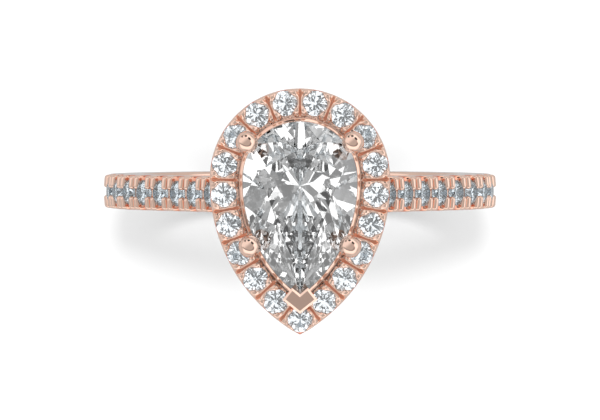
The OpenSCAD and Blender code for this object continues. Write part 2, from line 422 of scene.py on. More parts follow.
def makeShankSweep():
    bottom = outerRadius * (math.pi - band["turn"])
    workedEnd = bandRun(band["stones"]) + band["pitch"]
    fineRuns = np.arange(-shankGrid["shoulderRun"], workedEnd, shankGrid["fine"])
    coarseRuns = np.linspace(workedEnd, bottom, int((bottom - workedEnd) / shankGrid["coarse"]))
    runs = np.concatenate([fineRuns, coarseRuns])
    w, ro, ri = shankWidth / 2, band["outerRound"], band["innerRound"]
    # a section point is its y, its depth and its kind, from the front edge over the outside, then under
    section = []
    for a in np.linspace(0, math.pi / 2, shankGrid["cornerRows"] + 1)[:-1]:
        section.append((-w + ro - ro * math.cos(a), ro - ro * math.sin(a), "corner"))
    for y in np.linspace(-w + ro, w - ro, shankGrid["topRows"]):
        section.append((y, 0.0, "top"))
    for a in np.linspace(math.pi / 2, 0, shankGrid["cornerRows"] + 1)[1:]:
        section.append((w - ro + ro * math.cos(a), ro - ro * math.sin(a), "corner"))
    for t in np.linspace(0, 1, shankGrid["sideRows"] + 2)[1:-1]:
        section.append((w, t, "side"))
    for a in np.linspace(0, math.pi / 2, shankGrid["cornerRows"]):
        section.append((w - ri + ri * math.cos(a), ri - ri * math.sin(a), "inner"))
    for y in np.linspace(w - ri, -w + ri, shankGrid["innerRows"])[1:-1]:
        section.append((y, 0.0, "inner"))
    for a in np.linspace(math.pi / 2, 0, shankGrid["cornerRows"]):
        section.append((-w + ri - ri * math.cos(a), ri - ri * math.sin(a), "inner"))
    for t in np.linspace(1, 0, shankGrid["sideRows"] + 2)[1:-1]:
        section.append((-w, t, "side"))
    ys = np.array([s[0] for s in section])
    lifts = bandTopHeight(np.repeat(runs[:, None], len(ys), 1), np.repeat(ys[None, :], len(runs), 0))
    stoneRuns = np.array([bandRun(k) for k in range(1, band["stones"] + 1)])
    half, shadeValues = [], []
    for i, run in enumerate(runs):
        base, radial = shankFrame(run)
        depth = outerRadius - fingerRadius if run >= 0 else band["shoulderDepth"]
        for j, (y, drop, kind) in enumerate(section):
            if kind == "top":
                lower = -lifts[i, j]
            elif kind == "corner":
                lower = drop - lifts[i, j] * (1 - drop / ro * 0.35)
            elif kind == "side":
                start = ro - lifts[i, j] * 0.65
                lower = start + (depth - ri - start) * drop
            else:
                away = np.hypot(stoneRuns - run, y).min()
                drilled = 1 - smoothStep(*shankCut["drillRadius"], away)
                lower = depth - drop - shankCut["drillDepth"] * drilled
            p = base - radial * lower
            half.append((p[0], y, p[2]))
            # painted shade: the deeper the cut at a point, the darker its gold
            cutShade = float(smoothStep(0.03, 0.34, -lifts[i, j]))
            shadeValues.append(cutShade if kind in ("top", "corner") else 0.0)
    n = len(section)
    rightRows = [half[i * n:(i + 1) * n] for i in range(len(runs))]
    leftRows = [[(-x, y, z) for x, y, z in row] for row in reversed(rightRows[:-1])]
    rows = rightRows + leftRows
    shadeRows = [shadeValues[i * n:(i + 1) * n] for i in range(len(runs))]
    shadeRows = shadeRows + list(reversed(shadeRows[:-1]))
    points = [p for row in rows for p in row]
    faces = gridFaces(len(rows), n, False, True)
    faces.append(tuple(range(n)))
    faces.append(tuple(reversed(range(len(points) - n, len(points)))))
    return points, faces, [t for row in shadeRows for t in row]


def trimShoulders(piece):
    work = bmesh.new()
    work.from_mesh(piece.data)
    bmesh.ops.remove_doubles(work, verts=work.verts, dist=1e-7)
    whole = list(work.verts) + list(work.edges) + list(work.faces)
    cut = bmesh.ops.bisect_plane(
        work, geom=whole, plane_co=(0, 0, haloUnder * mm), plane_no=(0, 0, 1), clear_outer=True
    )
    rim = [e for e in cut["geom_cut"] if isinstance(e, bmesh.types.BMEdge)]
    bmesh.ops.holes_fill(work, edges=rim, sides=0)
    bmesh.ops.recalc_face_normals(work, faces=work.faces)
    work.to_mesh(piece.data)
    work.free()


def makeBridge():
    # a hair smaller than the sweep, so that two faces never lie in one plane
    w, r0 = shankWidth / 2 - 0.015, fingerRadius + 0.004
    ri, r1, ro = band["innerRound"], bridgeRadius, 0.14
    section = []
    for cy, cr, r, start in ((w, r0, ri, 180), (w, r1, ro, 90), (-w, r1, ro, 0), (-w, r0, ri, -90)):
        for a in np.radians(np.linspace(start, start - 90, 6)):
            y = (cy - r if cy > 0 else cy + r) + r * math.sin(a)
            section.append((y, (cr + r if cr == r0 else cr - r) + r * math.cos(a)))
    turns = np.linspace(-band["turn"], band["turn"], 90)
    points = [(r * math.sin(t), y, r * math.cos(t)) for t in turns for y, r in section]
    faces = gridFaces(len(turns), len(section), False, True)
    faces.append(tuple(range(len(section))))
    faces.append(tuple(reversed(range(len(points) - len(section), len(points)))))
    return points, faces


def joined(name, pieces):
    work = bmesh.new()
    for piece in pieces:
        work.from_mesh(piece.data)
        mesh = piece.data
        bpy.data.objects.remove(piece)
        bpy.data.meshes.remove(mesh)
    mesh = bpy.data.meshes.new(name)
    work.to_mesh(mesh)
    work.free()
    piece = bpy.data.objects.new(name, mesh)
    bpy.context.scene.collection.objects.link(piece)
    return piece


def makeShank():
    points, faces, shadeValues = makeShankSweep()
    sweep = newPiece("shankSweep", points, faces)
    paintRecessShade(sweep, shadeValues)
    turnOutwards(sweep)
    trimShoulders(sweep)
    bridge = newPiece("shankBridge", *makeBridge())
    turnOutwards(bridge)
    return joined("shankHoop", [sweep, bridge])


rails = {
    "columns": 240,
    "round": 0.12,
    "baseHalf": 0.3,
    "baseSunk": 0.2,
    "galleryOut": -0.61,
    "galleryHalf": 0.25,
    "galleryFrom": 0.55,
    "galleryTo": 0.95,
}


def makeRail(name, out, half, low, high, saddle):
    columns, r = rails["columns"], rails["round"]
    corners = ((1, 1, 0), (-1, 1, 90), (-1, -1, 180), (1, -1, 270))
    mid, reach = (low + high) / 2, (high - low) / 2 - r
    section = []
    for sx, sz, start in corners:
        for a in np.radians(np.linspace(start, start + 90, 5)):
            section.append((out + sx * (half - r) + r * math.cos(a), mid + sz * reach + r * math.sin(a)))
    points = []
    for i in range(columns):
        for o, z in section:
            x, y, _ = pearAt((i + 0.5) / columns, o)
            if saddle:
                z = max(z, math.sqrt(bridgeRadius**2 - x * x))
            points.append((x, y, z))
    piece = newPiece(name, points, gridFaces(columns, len(section), True, True))
    turnOutwards(piece)
    return piece


def sweepTube(name, route, radii, sides):
    points, rows = [], len(route)
    for i, (p, r) in enumerate(zip(route, radii)):
        a, b = Vector(route[max(i - 1, 0)]), Vector(route[min(i + 1, rows - 1)])
        forward = (b - a).normalized()
        guide = Vector((0, 0, 1)) if abs(forward.z) < 0.99 else Vector((0, 1, 0))
        sideways = forward.cross(guide).normalized()
        upward = sideways.cross(forward)
        for k in range(sides):
            t = 2 * math.pi * k / sides
            points.append(tuple(Vector(p) + (sideways * math.cos(t) + upward * math.sin(t)) * r))
    faces = gridFaces(rows, sides, False, True)
    faces.append(tuple(range(sides)))
    faces.append(tuple(reversed(range(len(points) - sides, len(points)))))
    piece = newPiece(name, points, faces)
    turnOutwards(piece)
    return piece


def clawPoint(kind, out, height):
    if kind == "upper":
        a, r = claws["upperTurn"], halfWidth + out
        return Vector((r * math.cos(a), headY + r * math.sin(a), height))
    a, r = claws["lowerTurn"], pear["sideRadius"] + out
    return Vector((r * math.cos(a) - sideCentre, pear["sideY"] + r * math.sin(a), height))


def makeBallClaw(name, kind, side):
    foot = clawPoint(kind, claws["footOut"], railTop)
    knee = clawPoint(kind, claws["kneeOut"], haloTop)
    ball = clawPoint(kind, claws["ballOut"], haloTop + claws["ballLift"])
    route, radii = [], []
    for i in range(25):
        t = i / 24
        bent = claws["kneeShare"]
        low = foot.lerp(knee, min(t / bent, 1))
        route.append(low if t < bent else knee.lerp(ball, (t - bent) / (1 - bent) * 0.5))
        radii.append(claws["leg"])
    axis = (ball - knee).normalized()
    start = math.asin(claws["leg"] / claws["ball"])
    for a in np.linspace(start, math.pi - 0.02, 34):
        route.append(ball - axis * claws["ball"] * math.cos(a))
        radii.append(claws["ball"] * math.sin(a))
    middle = [(route[i - 1] + route[i] * 2 + route[i + 1]) / 4 for i in range(1, 24)]
    smooth = [route[0]] + middle + route[24:]
    points = [(side * p.x, p.y, p.z) for p in smooth]
    return sweepTube(name, points, radii, 40)


tipPlate = {
    "notch": (0, -4.93),
    "ear": (0.39, -4.6),
    "corner": (0.87, -5.2),
    "point": (0, -5.9),
    "under": 0.22,
    "top": 0.61,
    "rim": 0.11,
    "rimRise": 0.07,
}


def makeTipClaw():
    (earX, earY), (cornerX, cornerY) = tipPlate["ear"], tipPlate["corner"]
    right, left = [(earX, earY), (cornerX, cornerY)], [(-cornerX, cornerY), (-earX, earY)]
    outline = [tipPlate["notch"], *right, tipPlate["point"], *left]
    work = bmesh.new()
    low = [work.verts.new((x * mm, y * mm, (haloTop + tipPlate["under"]) * mm)) for x, y in outline]
    face = work.faces.new(low)
    grown = bmesh.ops.extrude_face_region(work, geom=[face])
    for v in grown["geom"]:
        if isinstance(v, bmesh.types.BMVert):
            v.co.z = (haloTop + tipPlate["top"]) * mm
    bmesh.ops.recalc_face_normals(work, faces=work.faces)
    lid = max(work.faces, key=lambda f: f.calc_center_median().z)
    rim, rise = tipPlate["rim"] * mm, tipPlate["rimRise"] * mm
    bmesh.ops.inset_region(work, faces=[lid], thickness=rim, depth=rise, use_even_offset=True)
    # painted shade: the lid gets a darker copy of the rose gold
    lid.material_index = 1  # the lid alone has the darker gold
    mesh = bpy.data.meshes.new("tipPlate")
    work.to_mesh(mesh)
    work.free()
    plate = bpy.data.objects.new("tipPlate", mesh)

    def tipPoint(out, height):
        y = -math.sqrt((pear["sideRadius"] + out) ** 2 - sideCentre**2) + pear["sideY"]
        return Vector((0, y, height))

    foot, knee = tipPoint(claws["footOut"], railTop), tipPoint(0.12, haloTop - 0.2)
    top = tipPoint(0.2, haloTop + 0.3)
    route = [foot.lerp(knee, i / 12) for i in range(13)] + [knee.lerp(top, i / 6) for i in range(1, 7)]
    stem = sweepTube("tipStem", route, [claws["leg"]] * len(route), 32)
    return joined("tipClaw", [plate, stem])


# a stone starts as a prism of its outline and is cut by flat facets
def cutBrilliant(name, outline, centre, table, crown, girdle, pavilion):
    q = len(outline) // 16
    rim = [Vector(p) for p in outline]
    c = Vector(centre)
    n = len(rim)
    work = bmesh.new()
    low = [work.verts.new((p.x, p.y, -pavilion - 0.2)) for p in rim]
    high = [work.verts.new((p.x, p.y, girdle + crown + 0.2)) for p in rim]
    work.faces.new(list(reversed(low)))
    work.faces.new(high)
    for i in range(n):
        work.faces.new((low[i], low[(i + 1) % n], high[(i + 1) % n], high[i]))

    def cut(a, b, d):
        normal = (b - a).cross(d - a).normalized()
        middle = Vector((c.x, c.y, girdle / 2))
        if normal.dot(middle - a) > 0:
            normal = -normal
        whole = list(work.verts) + list(work.edges) + list(work.faces)
        done = bmesh.ops.bisect_plane(
            work, geom=whole, dist=1e-6, plane_co=a, plane_no=normal, clear_outer=True
        )
        edges = [e for e in done["geom_cut"] if isinstance(e, bmesh.types.BMEdge) and e.is_boundary]
        if edges:
            bmesh.ops.holes_fill(work, edges=edges, sides=0)

    def outwardAt(j):
        before, after = rim[(j * q - 1) % n], rim[(j * q + 1) % n]
        t = (after - before).normalized()
        return Vector((t.y, -t.x)), t

    def lift(p, z):
        return Vector((p.x, p.y, z))

    for z, height, inner in ((girdle, crown, table), (0.0, -pavilion, 0.0)):
        mains = []
        for k in range(8):
            g = rim[2 * k * q]
            out, t = outwardAt(2 * k)
            top = lift(c + (g - c) * inner, z + height)
            foot = lift(g, z)
            slope = height / (g - c.lerp(g, inner)).dot(out)
            mains.append((foot, top, t, out, slope))
        if inner:
            cut(*[lift(c + Vector(step), z + height) for step in ((0, 0), (1, 0), (0, 1))])
        for foot, top, t, out, slope in mains:
            cut(foot, foot + lift(t, 0), top)
        share = (table * math.cos(math.pi / 8) + 1) / 2 if inner else 0.24
        for k in range(8):
            fa, ta, _, oa, sa = mains[k]
            fb, tb, _, ob, sb = mains[(k + 1) % 8]
            mid = rim[(2 * k + 1) * q]
            p = c.lerp(mid, share)
            line = ob * sb - oa * sa
            level = oa.dot(fa.xy) * sa - ob.dot(fb.xy) * sb
            p = p - line * ((line.dot(p) + level) / line.length_squared)
            star = lift(p, z + oa.dot(fa.xy - p) * sa)
            if inner:
                cut(ta, tb, star)
            for a, b in ((2 * k, 2 * k + 1), (2 * k + 1, 2 * k + 2)):
                ga, gb = rim[(a * q) % n], rim[(b * q) % n]
                bulge = rim[((a + b) * q // 2) % n] - (ga + gb) / 2
                cut(star, lift(ga + bulge * 0.55, z), lift(gb + bulge * 0.55, z))
    bmesh.ops.remove_doubles(work, verts=work.verts, dist=1e-5)
    bmesh.ops.recalc_face_normals(work, faces=work.faces)
    frosted = work.faces.layers.float.new("girdle")
    for f in work.faces:
        f[frosted] = 1.0 if abs(f.normal.z) < 0.05 else 0.0
    bmesh.ops.scale(work, verts=work.verts, vec=(mm, mm, mm))
    mesh = bpy.data.meshes.new(name)
    work.to_mesh(mesh)
    work.free()
    piece = bpy.data.objects.new(name, mesh)
    bpy.context.scene.collection.objects.link(piece)
    print("cut", name, len(mesh.polygons), "facets")
    return piece


def makeCentreStone():
    outline = [pearAt(i / 96, 0)[:2] for i in range(96)]
    depths = pear["crown"], pear["girdle"], pear["pavilion"]
    piece = cutBrilliant("centreStone", outline, (0, pear["culetY"]), pear["table"], *depths)
    piece.data.transform(Matrix.Translation((0, 0, stoneHeight * mm)))
    return piece


roundCut = {"table": 0.58, "crown": 0.15, "girdle": 0.04, "pavilion": 0.42}  # shares of the width


def makeRoundStone(name, width):
    turns = [i * math.pi / 24 for i in range(48)]
    outline = [(width / 2 * math.cos(a), width / 2 * math.sin(a)) for a in turns]
    depths = [roundCut[part] * width for part in ("crown", "girdle", "pavilion")]
    return cutBrilliant(name, outline, (0, 0), roundCut["table"], *depths)


# fingers hold the shank's stones, two side by side from each edge in every gap
finger = {
    "tip": 0.17,
    "foot": 0.87,
    "footRound": 0.14,
    "width": 0.165,
    "widen": 0.3,
    "crest": 0.27,
    "fall": 0.35,
    "under": 0.1,
    "sunk": 0.03,
    "fromGap": 0.235,
}


def makeFinger():
    rows, sides = 18, 14
    points = []

    def roundedEnd(share):
        return math.sqrt(max(1 - (1 - min(share, 1)) ** 2, 0.0004))

    for i in range(rows):
        t = i / (rows - 1)
        v = finger["tip"] + (finger["foot"] - finger["tip"]) * (1 - math.cos(t * math.pi)) / 2
        near, far = (v - finger["tip"]) / finger["width"], (finger["foot"] - v) / finger["footRound"]
        end = min(roundedEnd(near), roundedEnd(far))
        wide = finger["width"] * (1 + finger["widen"] * t) * end
        crest = finger["crest"] * (1 - finger["fall"] * t) * end
        for k in range(sides):
            a = 2 * math.pi * k / sides
            up = math.sin(a)
            points.append((wide * math.cos(a), v, crest * up if up > 0 else finger["under"] * up * end))
    faces = gridFaces(rows, sides, False, True)
    faces.append(tuple(range(sides)))
    faces.append(tuple(reversed(range(len(points) - sides, len(points)))))
    piece = newPiece("fingerMaster", points, faces)
    turnOutwards(piece)
    return piece


def fingerPlaces():
    places = []
    for side in (-1, 1):
        for gap in range(band["stones"] + 1):
            for step in (-1, 1):
                if gap == 0 and step < 0:
                    continue
                run = bandRun(gap + 0.5) + step * finger["fromGap"]
                base, radial = shankFrame(run)
                tilt = math.atan2(radial[0], radial[2])
                p = base - radial * finger["sunk"]
                for edge in (0, math.pi):
                    turn = Matrix.Rotation(side * tilt, 3, "Y") @ Matrix.Rotation(edge, 3, "Z")
                    places.append(((side * p[0], 0.0, p[2]), turn))
    return places


# a tree that sets one stone or finger at every point of a setting plan
def stoneRowTree():
    tree = bpy.data.node_groups.new("setStones", "GeometryNodeTree")
    tree.interface.new_socket("Geometry", in_out="INPUT", socket_type="NodeSocketGeometry")
    tree.interface.new_socket("Stone", in_out="INPUT", socket_type="NodeSocketObject")
    tree.interface.new_socket("Size", in_out="INPUT", socket_type="NodeSocketFloat")
    tree.interface.new_socket("Material", in_out="INPUT", socket_type="NodeSocketMaterial")
    tree.interface.new_socket("Geometry", in_out="OUTPUT", socket_type="NodeSocketGeometry")
    nodes, links = tree.nodes, tree.links
    start, end = nodes.new("NodeGroupInput"), nodes.new("NodeGroupOutput")
    info = nodes.new("GeometryNodeObjectInfo")
    turn = nodes.new("GeometryNodeInputNamedAttribute")
    turn.data_type = "FLOAT_VECTOR"
    turn.inputs["Name"].default_value = "turn"
    place = nodes.new("GeometryNodeInstanceOnPoints")
    real = nodes.new("GeometryNodeRealizeInstances")
    paint = nodes.new("GeometryNodeSetMaterial")
    links.new(start.outputs["Geometry"], place.inputs["Points"])
    links.new(start.outputs["Stone"], info.inputs["Object"])
    links.new(info.outputs["Geometry"], place.inputs["Instance"])
    links.new(turn.outputs["Attribute"], place.inputs["Rotation"])
    links.new(start.outputs["Size"], place.inputs["Scale"])
    links.new(place.outputs["Instances"], real.inputs["Geometry"])
    links.new(real.outputs["Geometry"], paint.inputs["Geometry"])
    links.new(start.outputs["Material"], paint.inputs["Material"])
    links.new(paint.outputs["Geometry"], end.inputs["Geometry"])
    return tree


def setStones(name, tree, stone, places, material):
    plan = newPiece(name + "Plan", [p for p, _ in places], [])
    turns = plan.data.attributes.new("turn", "FLOAT_VECTOR", "POINT")
    for i, (_, matrix) in enumerate(places):
        turns.data[i].vector = matrix.to_euler()
    modifier = plan.modifiers.new("setStones", "NODES")
    modifier.node_group = tree
    sockets = {s.name: s.identifier for s in tree.interface.items_tree if s.in_out == "INPUT"}
    modifier[sockets["Stone"]] = stone
    modifier[sockets["Size"]] = 1.0
    modifier[sockets["Material"]] = material
    bpy.context.view_layer.update()
    ready = plan.evaluated_get(bpy.context.evaluated_depsgraph_get())
    mesh = bpy.data.meshes.new_from_object(ready)
    mesh.name = name
    bpy.data.objects.remove(plan)
    piece = bpy.data.objects.new(name, mesh)
    bpy.context.scene.collection.objects.link(piece)
    return piece


def linkChain(tree, *pairs):
    for a, b in pairs:
        tree.links.new(a, b)


def polishGroup():
    tree = bpy.data.node_groups.new("polishMarks", "ShaderNodeTree")
    for name in ("Scale", "Low", "High"):
        tree.interface.new_socket(name, in_out="INPUT", socket_type="NodeSocketFloat")
    for name in ("Roughness", "Height"):
        tree.interface.new_socket(name, in_out="OUTPUT", socket_type="NodeSocketFloat")
    nodes = tree.nodes
    start, end = nodes.new("NodeGroupInput"), nodes.new("NodeGroupOutput")
    place = nodes.new("ShaderNodeTexCoord")
    broad = nodes.new("ShaderNodeTexNoise")
    fine = nodes.new("ShaderNodeTexNoise")
    grow = nodes.new("ShaderNodeMath")
    grow.operation = "MULTIPLY"
    grow.inputs[1].default_value = 7.0
    spread = nodes.new("ShaderNodeMapRange")
    broad.inputs["Detail"].default_value = 3.0
    fine.inputs["Detail"].default_value = 2.0
    linkChain(
        tree,
        (place.outputs["Object"], broad.inputs["Vector"]),
        (place.outputs["Object"], fine.inputs["Vector"]),
        (start.outputs["Scale"], broad.inputs["Scale"]),
        (start.outputs["Scale"], grow.inputs[0]),
        (grow.outputs[0], fine.inputs["Scale"]),
        (broad.outputs["Fac"], spread.inputs["Value"]),
        (start.outputs["Low"], spread.inputs["To Min"]),
        (start.outputs["High"], spread.inputs["To Max"]),
        (spread.outputs["Result"], end.inputs["Roughness"]),
        (fine.outputs["Fac"], end.inputs["Height"]),
    )
    spread.inputs["From Min"].default_value = 0.35
    spread.inputs["From Max"].default_value = 0.65
    return tree


# cut and pocket are painted shade: darker, redder gold laid into the cuts by their depth
goldTones = {
    "polished": (0.95, 0.685, 0.565),
    "warm": (0.93, 0.635, 0.51),
    "cut": (0.97, 0.76, 0.68),
    "pocketShade": (0.86, 0.46, 0.38),
    "throughStone": (0.8, 0.83, 0.85),
}

goldMarks = {"markScale": 900.0, "bump": 0.02, "bumpDepth": 0.00002, "toneScale": 220.0, "shadeMidAt": 0.55}


def goldFinish(name, marks, low, high, strength):
    material = bpy.data.materials.new(name)
    material.use_nodes = True
    nodes, tree = material.node_tree.nodes, material.node_tree
    surface = nodes["Principled BSDF"]
    surface.inputs["Metallic"].default_value = 1.0
    group = nodes.new("ShaderNodeGroup")
    group.node_tree = marks
    group.inputs["Scale"].default_value = goldMarks["markScale"]
    group.inputs["Low"].default_value = low
    group.inputs["High"].default_value = high
    bump = nodes.new("ShaderNodeBump")
    bump.inputs["Strength"].default_value = goldMarks["bump"]
    bump.inputs["Distance"].default_value = goldMarks["bumpDepth"]
    place = nodes.new("ShaderNodeTexCoord")
    tone = nodes.new("ShaderNodeTexNoise")
    tone.inputs["Scale"].default_value = goldMarks["toneScale"]
    mix = nodes.new("ShaderNodeMix")
    mix.data_type = "RGBA"
    mix.inputs[6].default_value = (*[c * strength for c in goldTones["polished"]], 1)
    mix.inputs[7].default_value = (*[c * strength for c in goldTones["warm"]], 1)
    # painted shade: the gold is darkened towards the cut and pocket tones where the cuts are deep
    recessShade = nodes.new("ShaderNodeAttribute")
    recessShade.attribute_name = "recessShade"
    ramp = nodes.new("ShaderNodeValToRGB")
    ramp.color_ramp.elements[0].color = (1, 1, 1, 1)
    ramp.color_ramp.elements[1].color = (*goldTones["pocketShade"], 1)
    middle = ramp.color_ramp.elements.new(goldMarks["shadeMidAt"])
    middle.color = (*goldTones["cut"], 1)
    shade = nodes.new("ShaderNodeMix")
    shade.data_type = "RGBA"
    shade.blend_type = "MULTIPLY"
    shade.inputs[0].default_value = 1.0
    # painted light: the metal is given a pale neutral tone in place of its gold only where it is seen
    # through a stone, so the stones show white
    path = nodes.new("ShaderNodeLightPath")  # metal seen through a stone has a neutral tone
    clear = nodes.new("ShaderNodeMath")
    clear.operation = "GREATER_THAN"
    clear.inputs[1].default_value = 0.5
    seen = nodes.new("ShaderNodeMix")
    seen.data_type = "RGBA"
    seen.inputs[7].default_value = (*goldTones["throughStone"], 1)
    linkChain(
        tree,
        (place.outputs["Object"], tone.inputs["Vector"]),
        (tone.outputs["Fac"], mix.inputs[0]),
        (recessShade.outputs["Fac"], ramp.inputs["Fac"]),
        (mix.outputs[2], shade.inputs[6]),
        (ramp.outputs["Color"], shade.inputs[7]),
        (path.outputs["Transmission Depth"], clear.inputs[0]),
        (clear.outputs[0], seen.inputs[0]),
        (shade.outputs[2], seen.inputs[6]),
        (seen.outputs[2], surface.inputs["Base Color"]),
        (group.outputs["Roughness"], surface.inputs["Roughness"]),
        (group.outputs["Height"], bump.inputs["Height"]),
        (bump.outputs["Normal"], surface.inputs["Normal"]),
    )
    return material


diamondLook = {
    "bend": 2.417,
    "frost": 0.3,
    "toneScale": 700.0,
    "unevenness": 0.98,
    "centre": (0.995, 1.0, 1.0),
    "halo": (0.87, 0.915, 0.95),
    # painted shade: the shank stones are the same small diamonds as the halo's, given a darker tint
    "shank": (0.66, 0.73, 0.78),
}


def diamondFinish(name, tint):
    material = bpy.data.materials.new(name)
    material.use_nodes = True
    nodes, tree = material.node_tree.nodes, material.node_tree
    surface = nodes["Principled BSDF"]
    surface.inputs["Metallic"].default_value = 0.0
    surface.inputs["Transmission Weight"].default_value = 1.0
    surface.inputs["IOR"].default_value = diamondLook["bend"]
    frosted = nodes.new("ShaderNodeAttribute")
    frosted.attribute_name = "girdle"
    spread = nodes.new("ShaderNodeMapRange")
    spread.inputs["To Min"].default_value = 0.0
    spread.inputs["To Max"].default_value = diamondLook["frost"]
    tone = nodes.new("ShaderNodeTexNoise")
    tone.inputs["Scale"].default_value = diamondLook["toneScale"]
    place = nodes.new("ShaderNodeTexCoord")
    mix = nodes.new("ShaderNodeMix")
    mix.data_type = "RGBA"
    mix.inputs[6].default_value = (*[c * diamondLook["unevenness"] for c in tint], 1)
    mix.inputs[7].default_value = (*tint, 1)
    linkChain(
        tree,
        (frosted.outputs["Fac"], spread.inputs["Value"]),
        (spread.outputs["Result"], surface.inputs["Roughness"]),
        (place.outputs["Object"], tone.inputs["Vector"]),
        (tone.outputs["Fac"], mix.inputs[0]),
        (mix.outputs[2], surface.inputs["Base Color"]),
    )
    return material


stageLook = {
    "floorTone": 0.82,
    "floorReflectionShade": 0.45,
    "floorSize": 1.2,
    "keyPower": 1.5,
    "keySize": 0.1,
    "keyPlace": (0.0, 0.13, 0.6),
    "cameraHeight": 250.0,
    "cameraY": 4.4,
    "cameraTilt": -1.24,
    "lens": 286.0,
}


def makeFloor():
    size, low = stageLook["floorSize"], shankLow.z
    mesh = bpy.data.meshes.new("floor")
    corners = [(-size, -size, low), (size, -size, low), (size, size, low), (-size, size, low)]
    mesh.from_pydata(corners, [], [(0, 1, 2, 3)])
    floor = bpy.data.objects.new("floor", mesh)
    bpy.context.scene.collection.objects.link(floor)
    material = bpy.data.materials.new("paleFloor")
    material.use_nodes = True
    surface = material.node_tree.nodes["Principled BSDF"]
    # painted reflection: the floor is given a darker tone where glossy rays, the metal's reflections,
    # see it
    path = material.node_tree.nodes.new("ShaderNodeLightPath")
    seen = material.node_tree.nodes.new("ShaderNodeMix")
    seen.data_type = "RGBA"
    seen.inputs[6].default_value = (stageLook["floorTone"],) * 3 + (1,)
    seen.inputs[7].default_value = (stageLook["floorReflectionShade"],) * 3 + (1,)
    linkChain(
        material.node_tree,
        (path.outputs["Is Glossy Ray"], seen.inputs[0]),
        (seen.outputs[2], surface.inputs["Base Color"]),
    )
    surface.inputs["Roughness"].default_value = 0.9
    surface.inputs["Specular IOR Level"].default_value = 0.0
    mesh.materials.append(material)
    return floor


studio = {
    "fill": 1.32,
    "horizon": 1.0,
    "flags": 5.0,
    "flagTone": 0.42,
    "cardCentre": (-0.18, 0.08),
    "cardSize": (0.62, 0.39),
    "cardTone": 0.55,
    "cardFar": 1.0,
    "cardTurn": math.radians(-27),
    "edgeTone": 0.22,
    "spots": ((-0.41, 0.52, 0.07, 0.11), (-0.08, 0.56, 0.13, 0.09), (0.24, 0.33, 0.18, 0.09)),
    "spotTurns": (0.0, 0.0, math.radians(-45)),
    "spotTone": 0.02,
    "sparkScale": 13.0,
    "sparkShare": 0.65,
    "sparkSteps": ((0.0, 0.03), (0.12, 1.1), (0.24, 2.1), (0.52, 3.4)),
    "tableFill": 1.19,
}


